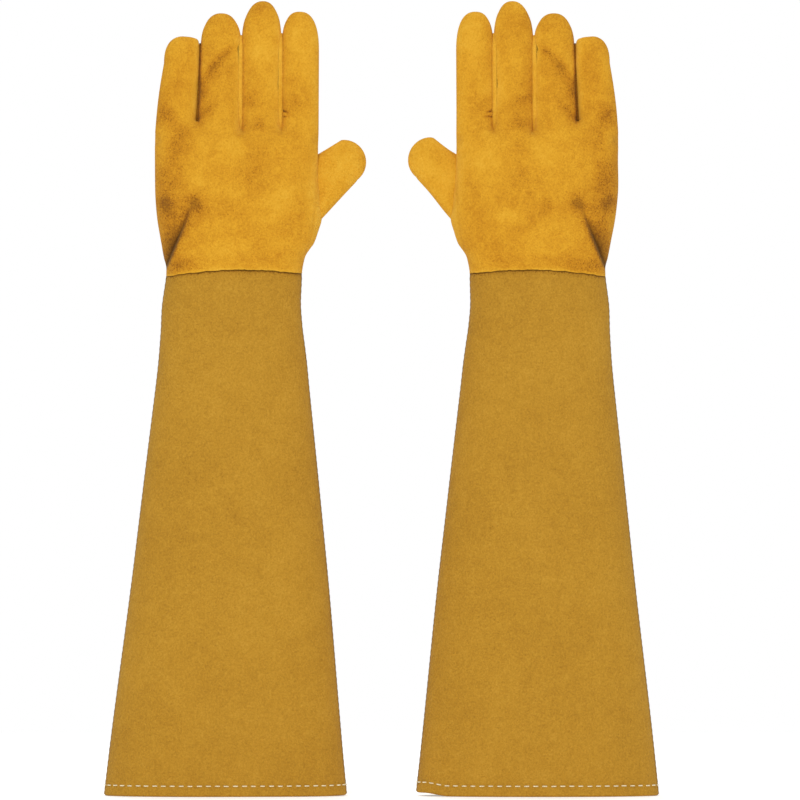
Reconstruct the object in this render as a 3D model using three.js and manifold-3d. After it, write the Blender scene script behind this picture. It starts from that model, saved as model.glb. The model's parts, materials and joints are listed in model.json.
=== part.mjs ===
// A pair of long gauntlet gloves in split leather, standing on their cuffs with the fingers up.
// Millimetres. +Z runs from the cuff mouths to the fingertips, -Y is the back of the hand and +Y
// the palm. The origin is on the ground, in the middle of the pair.
//
// Each glove is a tube of leather that is cut at its flex lines. Every leather piece has a back
// panel and a palm panel, as the real glove is sewn from a back and a palm. The flex lines of the
// wrist, knuckles, fingers and thumb are open wedges, which is the room that the leather folds into.
import * as THREE from "three";
import { mergeVertices } from "three/addons/utils/BufferGeometryUtils.js";
import Module from "manifold-3d";

const wasm = await Module();
wasm.setup();

// ---- driving dimensions ----
const LEFT_X = -109.9; // middle of the left hand
const RIGHT_X = 116.5; // middle of the right hand
const LEFT_LEAN = 4.7; // how far the cuff's mouth is off the wrist, away from the thumb
const RIGHT_LEAN = -1.9;

const WRIST_Z = 394; // the seam between hand and cuff
const KNUCKLE_Z = 504; // where the fingers part
const LEATHER = 1.4;
const LINING = 0.7;
const FINGER_WALL = 2.1; // leather and lining together
const GAP = 0.3; // between pieces that are sewn together
const WALLS = LEATHER + GAP + LINING; // of the cuff and the hand
const THREAD = 0.9;
const HEM_Z = 8; // the hem's stitch line above the mouth
const LINING_Z = 2; // the lining stops short of the mouth
const WRIST_STITCH_Z = 409;

const FINGER_AXIS_Y = 4; // the fingers bend on the palm side of their middle
const THUMB_AXIS = { x: 62.4, y: 8 };
const FLEX = {
  wrist: { back: 35, palm: 45 },
  knuckle: { back: 15, palm: 80 },
  finger: { back: 0, palm: 85 },
  thumb: { back: 24, palm: 62 }, // a little more than the thumb swings, which clears the hand
};
const FLEX_GAP = 0.35; // half of the gap at a flex line that is straight

const ROUND = 24; // sides of the hand's and cuff's sections
const FINGER_ROUND = 14;

// Sections of the cuff and hand, from the mouth up. x is the middle, back and palm are the depths
// on the two sides of it, and power is the section's superellipse exponent.
const CUFF = [
  { z: 0, x: -3, halfWidth: 91.9, back: 34.6, palm: 34.6, power: 2.2 },
  { z: 110, x: -3, halfWidth: 80, back: 32.5, palm: 32.5, power: 2.2 },
  { z: 220, x: -3, halfWidth: 67.5, back: 29.5, palm: 29.5, power: 2.2 },
  { z: 320, x: -3, halfWidth: 56.6, back: 26.5, palm: 26.5, power: 2.2 },
  { z: WRIST_Z, x: -2, halfWidth: 51.4, back: 24.5, palm: 26, power: 2.2 },
];
const HAND = [
  { z: WRIST_Z, x: -1.5, halfWidth: 52, back: 24.5, palm: 26, power: 2.2 },
  { z: 411, x: 0, halfWidth: 56, back: 23, palm: 26, power: 2.3 },
  { z: 428, x: 1.2, halfWidth: 60.2, back: 21.5, palm: 25, power: 2.5 },
  { z: 450, x: 0.6, halfWidth: 61.2, back: 20, palm: 23.5, power: 2.7 },
  { z: 480, x: 0.3, halfWidth: 61.2, back: 17, palm: 18.5, power: 3 },
  { z: KNUCKLE_Z, x: 0.4, halfWidth: 61.1, back: 13.5, palm: 13.5, power: 3.6 },
];

// Fingers, from the little finger to the index finger: the flat sides that they keep to, so that
// they pass each other as they bend, the tip, its rounding, and the height of the second joint.
const FINGERS = {
  little: { left: -61.1, right: -28.5, tipLeft: -53.2, tipZ: 572.8, cap: 15, jointZ: 537 },
  ring: { left: -27.6, right: 3.9, tipLeft: -26, tipZ: 590.3, cap: 22, jointZ: 549 },
  middle: { left: 4.6, right: 33.8, tipLeft: 5.2, tipZ: 600, cap: 21, jointZ: 554 },
  index: { left: 34.6, right: 61.9, tipLeft: 35, tipZ: 592, cap: 24, jointZ: 550 },
};
const FINGER_DEPTH = { base: 13.2, joint: 11.4, tip: 10 };
const CAP_STEPS = [0.5, 0.83, 0.98]; // shares of the rounding's height that get a section

// The thumb, along its own axis: position is the middle of its round tip.
const THUMB = { x: 81.5, y: 5.5, z: 477.7, slope: 38, radius: 16.5 };
const THUMB_SECTIONS = [
  { z: -52, halfWidth: 22.5, back: 13.5, palm: 13.5, power: 2.4 },
  { z: -25, halfWidth: 20.2, back: 13, palm: 13, power: 2.4 },
  { z: 0, halfWidth: 16.5, back: 11.5, palm: 11.5, power: 2.3 },
];

const COLOURS = {
  handLeather: { color: 0xd9992a, roughness: 0.92, metalness: 0 },
  cuffLeather: { color: 0xb8882b, roughness: 0.92, metalness: 0 },
  lining: { color: 0xd9d2bd, roughness: 0.95, metalness: 0 },
  thread: { color: 0xe9dcae, roughness: 0.8, metalness: 0 },
  handThread: { color: 0xc48a2a, roughness: 0.8, metalness: 0 },
};

// ---- solids ----

// The closed geometry as a manifold-3d solid.
function solid(geometry) {
  const bare = new THREE.BufferGeometry().setAttribute("position", geometry.getAttribute("position"));
  bare.setIndex(geometry.getIndex());
  const merged = mergeVertices(bare, 1e-4);
  return new wasm.Manifold(
    new wasm.Mesh({
      numProp: 3,
      vertProperties: merged.getAttribute("position").array,
      triVerts: new Uint32Array(merged.getIndex().array),
    }),
  );
}

function meshOf(made, name, look) {
  const { vertProperties, triVerts } = made.getMesh();
  const geometry = new THREE.BufferGeometry();
  geometry.setAttribute("position", new THREE.BufferAttribute(new Float32Array(vertProperties), 3));
  geometry.setIndex(new THREE.BufferAttribute(new Uint32Array(triVerts), 1));
  geometry.computeVertexNormals();
  const mesh = new THREE.Mesh(geometry, new THREE.MeshStandardMaterial(COLOURS[look]));
  mesh.name = name;
  return mesh;
}

const signedPower = (value, power) => Math.sign(value) * Math.abs(value) ** power;

// The points of one section, a superellipse that lies in the XY plane.
function ring(section, inset, count) {
  const { x = 0, y = 0, z, halfWidth, back, palm, power } = section;
  return Array.from({ length: count }, (_, i) => {
    const angle = (2 * Math.PI * (i + 0.5)) / count;
    const [across, out] = [Math.cos(angle), Math.sin(angle)];
    return new THREE.Vector3(
      x + (halfWidth - inset) * signedPower(across, 2 / power),
      y + ((out < 0 ? back : palm) - inset) * signedPower(out, 2 / power),
      z,
    );
  });
}

// A closed body through sections, its two ends flat. Inset makes it smaller all round.
function loft(sections, inset, count) {
  const points = sections.flatMap((section) => ring(section, inset, count));
  const faces = [];
  for (let row = 0; row + 1 < sections.length; row++)
    for (let i = 0; i < count; i++) {
      const [a, b] = [row * count + i, row * count + ((i + 1) % count)];
      faces.push(a, b, b + count, a, b + count, a + count);
    }
  const top = (sections.length - 1) * count;
  for (let i = 1; i + 1 < count; i++) faces.push(0, i + 1, i, top, top + i, top + i + 1);
  return solid(new THREE.BufferGeometry().setFromPoints(points).setIndex(faces));
}

// The same sections with the first and last moved out, so that a hollow runs through its shell.
function through(sections, below, above) {
  const longer = sections.map((section) => ({ ...section }));
  longer[0].z -= below;
  longer[longer.length - 1].z += above;
  return longer;
}

const tube = (sections, outside, wall, count) =>
  loft(sections, outside, count).subtract(loft(through(sections, 1, 1), outside + wall, count));

// Keeps what is in front of the plane through a point.
const keep = (made, normal, point) => made.trimByPlane(normal, new THREE.Vector3(...normal).dot(point));

// A flex line at a point, bending in the plane of along and toPalm. Each side of the line is cut
// back by half of each angle, so that the two pieces just meet at the end of the bend.
function flexSides(along, toPalm, point, { back, palm }) {
  const cuts = (sign) =>
    [palm, -back].map((degrees) => {
      const half = THREE.MathUtils.degToRad(degrees / 2);
      const normal = along.clone().multiplyScalar(Math.cos(half));
      normal.addScaledVector(toPalm, -sign * Math.sin(half)).multiplyScalar(sign);
      return { normal: normal.toArray(), from: point.clone().addScaledVector(normal, FLEX_GAP) };
    });
  const trim = (sign) => (made) => cuts(sign).reduce((left, cut) => keep(left, cut.normal, cut.from), made);
  return { before: trim(-1), after: trim(1) };
}

const UP = new THREE.Vector3(0, 0, 1);
const PALM = new THREE.Vector3(0, 1, 0);
const upright = (z, y, flex) => flexSides(UP, PALM, new THREE.Vector3(0, y, z), flex);

const backHalf = (made, y = 0) => keep(made, [0, -1, 0], new THREE.Vector3(0, y - GAP / 2, 0));
const palmHalf = (made, y = 0) => keep(made, [0, 1, 0], new THREE.Vector3(0, y + GAP / 2, 0));

// ---- the glove ----

const wrist = upright(WRIST_Z, 0, FLEX.wrist);
const knuckles = upright(KNUCKLE_Z, FINGER_AXIS_Y, FLEX.knuckle);

// The thumb's solid: its outside for inset 0, its hollow for the wall's thickness.
function thumbSolid(inset) {
  const cap = CAP_STEPS.map((share) => {
    const size = Math.sqrt(1 - share * share);
    const [section] = THUMB_SECTIONS.slice(-1);
    const flat = Math.max(size, 0.3);
    return {
      ...section,
      z: THUMB.radius * share - inset * share,
      halfWidth: section.halfWidth * flat,
      back: section.back * flat,
      palm: section.palm * flat,
    };
  });
  const slope = THREE.MathUtils.degToRad(90 - THUMB.slope);
  const place = new THREE.Matrix4().makeRotationY(slope).setPosition(THUMB.x, THUMB.y, THUMB.z);
  const base = inset ? through(THUMB_SECTIONS, 1, 0) : THUMB_SECTIONS;
  return loft([...base, ...cap], inset, FINGER_ROUND).transform(place.toArray());
}

const thumbPoint = new THREE.Vector3(THUMB_AXIS.x, THUMB_AXIS.y, THUMB.z);
const thumbFlex = flexSides(new THREE.Vector3(1, 0, 0), PALM, thumbPoint, FLEX.thumb);
const thumbOutside = thumbSolid(0);
const thumbHollow = thumbSolid(FINGER_WALL);

// The cuff's middle moves off the wrist's towards the mouth.
function leaning(sections, lean) {
  return sections.map((section) => ({ ...section, x: section.x - lean * (1 - section.z / WRIST_Z) }));
}

function cuff(side, lean) {
  const sections = leaning(CUFF, lean);
  const leather = wrist.before(tube(sections, 0, LEATHER, ROUND));
  const lined = [between(sections, LINING_Z), ...sections.slice(1)];
  const lining = wrist.before(tube(lined, LEATHER + GAP, LINING, ROUND));
  return [
    meshOf(backHalf(leather), `${side}_cuff_back`, "cuffLeather"),
    meshOf(palmHalf(leather), `${side}_cuff_palm`, "cuffLeather"),
    meshOf(lining, `${side}_cuff_lining`, "lining"),
    meshOf(stitchRing(sections, HEM_Z, -GAP - THREAD), `${side}_hem_stitching`, "thread"),
    meshOf(seamThread(sections, 1), `${side}_cuff_inner_seam`, "handThread"),
    meshOf(seamThread(sections, -1), `${side}_cuff_outer_seam`, "handThread"),
  ];
}

// A line of stitches round a tube. Inset is how far its outside is in from the tube's: it is
// negative on the leather's outside, and more than the walls inside them.
function stitchRing(sections, z, inset) {
  const band = [between(sections, z - THREAD / 2), between(sections, z + THREAD / 2)];
  return tube(band, inset, THREAD, ROUND);
}

// The section at a height, between the two that are stated.
function between(sections, z) {
  const above = sections.findIndex((section) => section.z >= z);
  const [low, high] = [sections[Math.max(above - 1, 0)], sections[Math.max(above, 1)]];
  const share = (z - low.z) / (high.z - low.z);
  const mix = (key) => THREE.MathUtils.lerp(low[key], high[key], share);
  const [x, halfWidth, back, palm, power] = ["x", "halfWidth", "back", "palm", "power"].map(mix);
  return { z, x, halfWidth, back, palm, power };
}

// The thread of a side seam, a thin bar up the edge of the cuff where back and palm meet.
function seamThread(sections, sign) {
  const [low, high] = [HEM_Z + 6, WRIST_Z - 16];
  const heights = [low, ...sections.map((section) => section.z).filter((z) => z > low && z < high), high];
  const bars = heights.map((z) => {
    const { x, halfWidth } = between(sections, z);
    const middle = x + sign * (halfWidth + GAP + THREAD / 2);
    return { z, x: middle, halfWidth: THREAD / 2, back: THREAD / 2, palm: THREAD / 2, power: 2 };
  });
  return loft(bars, 0, 6);
}

// The hand from the wrist to where the fingers part, with the root of the thumb on its palm side.
// The seam to the cuff is sewn inside out, so its stitches are inside.
function hand(side) {
  const trim = (made) => knuckles.before(wrist.after(made));
  const hollow = loft(through(HAND, 1, 1), LEATHER, ROUND).add(thumbHollow);
  const root = thumbFlex.before(thumbOutside);
  const back = trim(loft(HAND, 0, ROUND).subtract(hollow));
  const palm = trim(loft(HAND, 0, ROUND).add(root).subtract(hollow));
  const lining = trim(tube(HAND, LEATHER + GAP, LINING, ROUND)).subtract(thumbHollow);
  return [
    meshOf(backHalf(back), `${side}_hand_back`, "handLeather"),
    meshOf(palmHalf(palm), `${side}_hand_palm`, "handLeather"),
    meshOf(lining, `${side}_hand_lining`, "lining"),
    meshOf(stitchRing(HAND, WRIST_STITCH_Z, WALLS + GAP), `${side}_wrist_stitching`, "handThread"),
  ];
}

function thumb(side) {
  const shell = thumbFlex.after(thumbOutside.subtract(thumbHollow));
  return [
    meshOf(backHalf(shell, THUMB.y), `${side}_thumb_back`, "handLeather"),
    meshOf(palmHalf(shell, THUMB.y), `${side}_thumb_front`, "handLeather"),
  ];
}

// The sections of a finger from its root to its round tip.
function fingerSections({ left, right, tipLeft, tipZ, cap, jointZ }, inset) {
  const at = (z, edge, depth, size = 1) => ({
    z,
    x: (edge + right) / 2,
    halfWidth: ((right - edge) / 2) * size,
    back: depth * size,
    palm: depth * size,
    power: 2.5,
  });
  const shoulder = tipZ - cap;
  const jointLeft = THREE.MathUtils.lerp(left, tipLeft, 0.6);
  return [
    at(KNUCKLE_Z - (inset ? 1 : 0), left, FINGER_DEPTH.base),
    at(jointZ, jointLeft, FINGER_DEPTH.joint),
    at(shoulder, tipLeft, FINGER_DEPTH.tip),
    ...CAP_STEPS.map((share) => {
      const size = Math.max(Math.sqrt(1 - share * share), 0.3);
      return at(shoulder + (cap - inset) * share, tipLeft, FINGER_DEPTH.tip, size);
    }),
  ];
}

function finger(side, name, size) {
  const outside = loft(fingerSections(size, 0), 0, FINGER_ROUND);
  const hollow = loft(fingerSections(size, FINGER_WALL), FINGER_WALL, FINGER_ROUND);
  const shell = knuckles.after(outside.subtract(hollow));
  const joint = upright(size.jointZ, FINGER_AXIS_Y, FLEX.finger);
  return [
    ["base", joint.before(shell)],
    ["tip", joint.after(shell)],
  ].flatMap(([part, made]) => [
    meshOf(backHalf(made), `${side}_${name}_${part}_back`, "handLeather"),
    meshOf(palmHalf(made), `${side}_${name}_${part}_front`, "handLeather"),
  ]);
}

function glove(side, lean) {
  const group = new THREE.Group();
  const fingers = Object.entries(FINGERS).flatMap(([name, size]) => finger(side, name, size));
  group.add(...cuff(side, lean), ...hand(side), ...thumb(side), ...fingers);
  return group;
}

const left = glove("left", LEFT_LEAN);
left.position.x = LEFT_X;
const right = glove("right", RIGHT_LEAN);
right.position.x = RIGHT_X;
right.scale.x = -1;

const pair = new THREE.Group();
pair.add(left, right);

export default pair;
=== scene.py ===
"""The looks of a pair of long suede gauntlet gloves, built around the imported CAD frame.

Each glove is shaped in its own flat frame, in millimetres: x runs from the middle of the hand
towards the thumb, z up from the cuff's mouth, and y from the back of the hand (-) to the palm (+).
Side.place turns that into the row frame, in metres, and mirrors it for the right glove.
"""

import json
import math

import bpy
import numpy as np
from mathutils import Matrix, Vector, noise
from mathutils.geometry import delaunay_2d_cdt


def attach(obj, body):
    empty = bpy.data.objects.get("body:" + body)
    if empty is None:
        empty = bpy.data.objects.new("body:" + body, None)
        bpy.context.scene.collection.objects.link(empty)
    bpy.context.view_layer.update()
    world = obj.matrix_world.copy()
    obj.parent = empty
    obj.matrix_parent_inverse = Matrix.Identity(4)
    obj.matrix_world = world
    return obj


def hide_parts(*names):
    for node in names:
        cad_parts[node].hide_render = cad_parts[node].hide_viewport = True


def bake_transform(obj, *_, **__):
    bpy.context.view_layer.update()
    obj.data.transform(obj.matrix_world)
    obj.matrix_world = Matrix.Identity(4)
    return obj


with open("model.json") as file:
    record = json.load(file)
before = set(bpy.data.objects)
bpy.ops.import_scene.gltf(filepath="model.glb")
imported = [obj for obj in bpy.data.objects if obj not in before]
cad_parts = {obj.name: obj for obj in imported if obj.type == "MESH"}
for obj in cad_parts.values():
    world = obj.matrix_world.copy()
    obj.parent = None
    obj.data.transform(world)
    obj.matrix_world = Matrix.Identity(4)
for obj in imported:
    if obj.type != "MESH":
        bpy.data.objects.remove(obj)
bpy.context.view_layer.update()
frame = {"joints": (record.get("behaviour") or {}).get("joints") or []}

MM = 0.001
JOINTS = {joint["name"]: joint for joint in frame["joints"]}

# ---- sizes, in millimetres ----

WRIST_Z = 394
LEATHER = 1.6
STEP = 2.0  # distance between the points of a leather panel
OUTLINE_STEP = 1.4  # and between those of a finger's or thumb's outline
EDGE_ROWS = (0.35, 1.0, 2.0, 3.4)  # finer rows of points beside a panel's edge
CREASE_ROWS = (0.1, 0.7, -0.5, 1.5, -1.2, 2.7, -2.3)  # and beside a crease
LEAST_GAP = 0.45  # no two inner points of a panel are closer than this
SEAM_DEPTH = 0.4  # how far a side seam is drawn in
FULL_REACH = 25  # how far from its seams a panel goes on rising
CUT_INSIDE = 12  # how much of the leather's inside shows behind a cut edge

# Fingers: the sides at the root and at the shoulder, where the round tip starts, the tip's height,
# the exponents of its rounding on the left and right, how far its highest point is off the middle,
# how far its right shoulder slopes down and how far its left side is bowed out.
FINGER_SIZES = {
    "little": ((-61.3, -29.8), (-54.6, -27.6), 553, 573.4, (2.3, 10), 0.1, 2.5, 0.9),
    "ring": ((-28.6, 4.0), (-26.6, 4.3), 563, 590.8, (2.3, 2.4), 0, 0, 0),
    "middle": ((4.12, 34.12), (4.42, 34.42), 568, 600, (2.15, 2.4), 0.05, 0, 0),
    "index": ((34.24, 62.8), (34.54, 63.1), 562, 592, (2.6, 2.4), -0.04, 0, 0),
}
FINGER_WORDS = ("root", "shoulder", "z", "tip", "power", "skew", "slope", "bow")
FINGERS = {name: dict(zip(FINGER_WORDS, sizes)) for name, sizes in FINGER_SIZES.items()}
CROTCHES = {("little", "ring"): 509, ("ring", "middle"): 503, ("middle", "index"): 504.5}
FAR_ROOT = 500  # where the outer sides of the little and index fingers start
ROOT_LINE = 510  # the fingers' pieces start above this height
FINGER_SPLIT = {"little": 526, "ring": 533, "middle": 535, "index": 533}
KNUCKLE_REACH = {"little": 15.5, "ring": 19, "middle": 21, "index": 19}
FINGER_BEND = {"little": (528, 547), "ring": (537, 562), "middle": (541, 567), "index": (538, 563)}
WRIST_BEND = (366, 422)
THUMB_BEND = (58, 80)
THUMB_FREE = (66, 84)  # only the thumb is to the right of this
DRIFT_Z = (396, 520)  # the heights between which a hand drifts aside
DRAWN_X = (35, 58)  # how far out, and how high up, a hand's outer side is drawn in
DRAWN_Z = (455, 485)

# The outer edge of the hand below the little finger, and the inner edge below the index finger.
OUTER_EDGE = [
    (-61.5, 490), (-61.4, 465), (-61.0, 450), (-59.6, 434.5), (-57.0, 419), (-54.8, 406.5),
    (-52.9, 398.5), (-53.0, 391.6),
]
INNER_EDGE = [
    (50.2, 393.8), (50.9, 399), (52.9, 407), (56, 412), (59.3, 416.8), (62.6, 426), (65.2, 435.8),
    (63.9, 450), (62.5, 466), (62.4, 490),
]
PANELS = {"back": "back", "palm": "front"}  # each panel, and its name on a finger or thumb


def ramp(value, low, high):
    """From 0 to 1 between two values, with a soft start and end."""
    t = np.clip((value - low) / (high - low), 0, 1)
    return t * t * (3 - 2 * t)


class Side:
    """One glove: its place in the row frame, the lean of its cuff, the drift of its hand, how much the
    hand's outer side is drawn in and how much higher its thumb points."""

    def __init__(self, name, sign, lean, drift, drawn_in, thumb_lift):
        self.name = name
        self.sign = sign
        self.middle = JOINTS[f"{name}_wrist_flex"]["pos_m"][0] / MM
        self.lean = lean
        self.drift = drift
        self.drawn_in = drawn_in
        self.thumb_lift = thumb_lift

    def place(self, points):
        """Points of the flat frame, in metres in the row frame."""
        x, y, z = np.array(points, float).T
        aside = x - self.drift * ramp(z, *DRIFT_Z)
        aside += self.drawn_in * ramp(-x, *DRAWN_X) * ramp(z, *DRAWN_Z)
        higher = z + self.thumb_lift * ramp(x, *THUMB_FREE)
        return np.column_stack([self.middle + self.sign * aside, y, higher]) * MM

    def level(self, z):
        """The point at a height, on the glove's middle line."""
        return (self.middle * MM, 0, z * MM)

    def beside(self, x):
        """The point on the ground at a distance from the glove's middle line."""
        return ((self.middle + self.sign * x) * MM, 0, 0)


LEFT = Side("left", 1, 4.7, 0, 0, 0.3)
RIGHT = Side("right", -1, -1.9, 2.6, 1.1, 2.3)


# ---- lines ----


def unit(vectors):
    """The vectors at a length of one."""
    return vectors / np.maximum(np.linalg.norm(vectors, axis=1), 1e-9)[:, None]


def lengths_along(line):
    """How far along a polyline each of its points is."""
    return np.concatenate([[0], np.cumsum(np.linalg.norm(np.diff(line, axis=0), axis=1))])


def read_off(at, lengths, values):
    """Rows of values that are known at some lengths, at other lengths."""
    return np.column_stack([np.interp(at, lengths, column) for column in values.T])


def even(line, step):
    """The polyline with its points set at an even distance."""
    lengths = lengths_along(line)
    count = max(2, round(lengths[-1] / step) + 1)
    return read_off(np.linspace(0, lengths[-1], count), lengths, line)


def smooth_line(points, step=1.5):
    """Points at an even distance along a Catmull-Rom curve through the given ones."""
    p = np.array([points[0], *points, points[-1]], float)
    dense = []
    for a, b, c, d in zip(p, p[1:], p[2:], p[3:]):
        square, cube = 2 * a - 5 * b + 4 * c - d, 3 * b - a - 3 * c + d
        for t in np.linspace(0, 1, 40, endpoint=False):
            dense.append(0.5 * (2 * b + (c - a) * t + square * t**2 + cube * t**3))
    return even(np.array([*dense, p[-1]]), step)


def sideways(line):
    """The unit normal of an open polyline at each point, to the left of its direction."""
    along = unit(np.gradient(line, axis=0))
    return np.column_stack([-along[:, 1], along[:, 0]])


def inward(line):
    """The unit normal of a closed polyline at each point, to the left of its direction."""
    return sideways(np.concatenate([line[-1:], line, line[:1]]))[1:-1]


def winding(line):
    """1 for a closed polyline that runs anticlockwise, and -1 for a clockwise one."""
    ahead = np.roll(line, -1, axis=0)
    return 1 if np.sum(line[:, 0] * ahead[:, 1] - line[:, 1] * ahead[:, 0]) > 0 else -1


def outward(line):
    """The level directions out from a closed level line."""
    along = np.gradient(line, axis=0)
    return unit(np.column_stack([along[:, 1], -along[:, 0], np.zeros(len(line))]))


# ---- flat outlines ----


def finger_outline(spec, left_root, right_root):
    """From a finger's left root, over its round tip, to its right root."""
    left, right = spec["shoulder"]
    middle = (left + right) / 2
    half = (right - left) / 2
    height = spec["tip"] - spec["z"]
    angles = np.linspace(math.pi, 0, 90)
    power = np.where(angles > math.pi / 2, *spec["power"])
    across = np.sign(np.cos(angles)) * np.abs(np.cos(angles)) ** (2 / power)
    up = np.sin(angles) ** (2 / power)
    lean = spec["skew"] * np.sin(angles) * (1 - np.abs(across))
    sloped = spec["slope"] * np.maximum(across, 0) ** 2 * up
    cap = np.column_stack([middle + half * across + lean * half, spec["z"] + height * up - sloped])
    share = np.linspace(0, 1, 12, endpoint=False)
    side_x = spec["root"][0] + share * (left - spec["root"][0]) - spec["bow"] * np.sin(math.pi * share)
    side = np.column_stack([side_x, left_root + share * (spec["z"] - left_root)])
    return even(np.array([*side, *cap, (spec["root"][1], right_root)]), OUTLINE_STEP)


def hand_outline():
    """The closed outline of the hand without its thumb, from the hem's outer corner, and how many
    of its points come before the open lower edge."""
    roots = (FAR_ROOT, *CROTCHES.values(), FAR_ROOT)
    parts = [smooth_line(OUTER_EDGE[::-1])]
    for spec, left_root, right_root in zip(FINGERS.values(), roots, roots[1:]):
        parts.append(finger_outline(spec, left_root, right_root))
    parts.append(smooth_line(INNER_EDGE[::-1]))
    line = np.concatenate(parts)
    hem = hem_line(line[-1], line[0])
    return np.concatenate([line, hem]), len(line)


def hem_line(start, end):
    """The hand's lower edge, cut by hand: a shallow arch that wavers a little."""
    step, rise = 1.6, 3.9
    x = np.arange(start[0] - step, end[0] + step / 2, -step)
    share = (x - end[0]) / (start[0] - end[0])
    arch = end[1] + (start[1] - end[1]) * share + rise * np.sin(math.pi * share)
    waver = [0.5 * noise.noise((v * 0.16, 3.1, 0)) + 0.4 * noise.noise((v * 0.6, 7.7, 0)) for v in x]
    return np.column_stack([x, arch + np.array(waver)])


THUMB_TIP = (81.5, 477.9)  # the middle of the round tip
THUMB_RADIUS = 17.2
THUMB_SLOPE = math.radians(38)
THUMB_Y = 5.0
THUMB_LENGTH = 48  # from the middle of the tip to the open end inside the hand


def thumb_outline():
    """The thumb's flat outline, and how many of its points come before its open root. It is drawn
    along and across the thumb, from the middle of its tip, and then turned into place."""
    along = (math.cos(THUMB_SLOPE), math.sin(THUMB_SLOPE))
    across = (-along[1], along[0])
    angles = np.linspace(-math.pi / 2, math.radians(58.5), 60)
    cap = [(THUMB_RADIUS * math.cos(a), THUMB_RADIUS * math.sin(a)) for a in angles]
    low = [(-THUMB_LENGTH, -25.4), (-39, -23.6), (-2.3, -17.9)]
    high = [(-12.2, 17.4), (-32, 20.5), (-THUMB_LENGTH, 22)]
    line = even(np.array([*low, *cap, *high]), OUTLINE_STEP)
    root = [(-THUMB_LENGTH, v) for v in np.arange(20.4, -25, -1.8)]
    shape = np.concatenate([line, root])
    return THUMB_TIP + shape[:, :1] * along + shape[:, 1:] * across, len(line)


# ---- inflated panels ----


def distance_to(points, line):
    """The distance from each point to a closed polyline."""
    d = np.roll(line, -1, axis=0) - line
    best = []
    for p in np.array_split(points[:, None], len(points) // 800 + 1):
        t = np.clip(((p - line) * d).sum(2) / np.maximum((d * d).sum(1), 1e-12), 0, 1)
        best.append(np.linalg.norm(p - (line + t[..., None] * d), axis=2).min(1))
    return np.concatenate(best)


def inside(points, line):
    """Whether each point is inside a closed polyline."""
    a, b = line, np.roll(line, -1, axis=0)
    found = np.zeros(len(points), bool)
    for (ax, az), (bx, bz) in zip(a, b):
        crosses = (az > points[:, 1]) != (bz > points[:, 1])
        if az != bz:
            found ^= crosses & (points[:, 0] < ax + (points[:, 1] - az) * (bx - ax) / (bz - az))
    return found


def thinned(points, least):
    """The points without those that are too close to an earlier one."""
    kept, cells = [], {}
    around = [(i, j) for i in (-1, 0, 1) for j in (-1, 0, 1)]
    for p in points:
        cell = (int(p[0] // least), int(p[1] // least))
        near = (q for i, j in around for q in cells.get((cell[0] + i, cell[1] + j), ()))
        if all((p[0] - q[0]) ** 2 + (p[1] - q[1]) ** 2 >= least**2 for q in near):
            cells.setdefault(cell, []).append(p)
            kept.append(p)
    return np.array(kept)


def crease_rows(creases):
    """Rows of closely set points on both sides of each crease."""
    lines = [even(crease, 1.1) for crease in creases]
    return [line + offset * sideways(line) for line in lines for offset in CREASE_ROWS]


def triangulated(line, creases=()):
    """The flat area inside a closed outline, as points and triangles, and which of its points are
    the outline's."""
    rows = []
    for depth in EDGE_ROWS:
        row = line + winding(line) * depth * inward(line)
        rows.append(row[(distance_to(row, line) > 0.9 * depth) & inside(row, line)])
    low, high = line.min(0), line.max(0)
    xs = np.arange(low[0], high[0], STEP)
    zs = np.arange(low[1], high[1], STEP * math.sqrt(3) / 2)
    grid = np.array([(x + (j % 2) * STEP / 2, z) for j, z in enumerate(zs) for x in xs])
    grid = grid[inside(grid, line)]
    grid = grid[distance_to(grid, line) > EDGE_ROWS[-1] + 0.6 * STEP]
    for row in crease_rows(creases):
        rows.insert(0, row[inside(row, line) & (distance_to(row, line) > 0.3)])
    inner = thinned(np.concatenate([*rows, grid]), LEAST_GAP)
    edges = [(i, (i + 1) % len(line)) for i in range(len(line))]
    made = delaunay_2d_cdt([Vector(v) for v in (*line, *inner)], edges, [], 1, 1e-4)
    points = np.array([tuple(v) for v in made[0]])
    tris = np.array([f for f in made[2] if len(f) == 3])
    ring = {source: new for new, sources in enumerate(made[3]) for source in sources}
    return points, tris, np.array([ring[i] for i in range(len(line))])


MOST_ROUNDS = 1500  # of the solver, which ends when what is left over is this small
SETTLED = 1e-7


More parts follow.
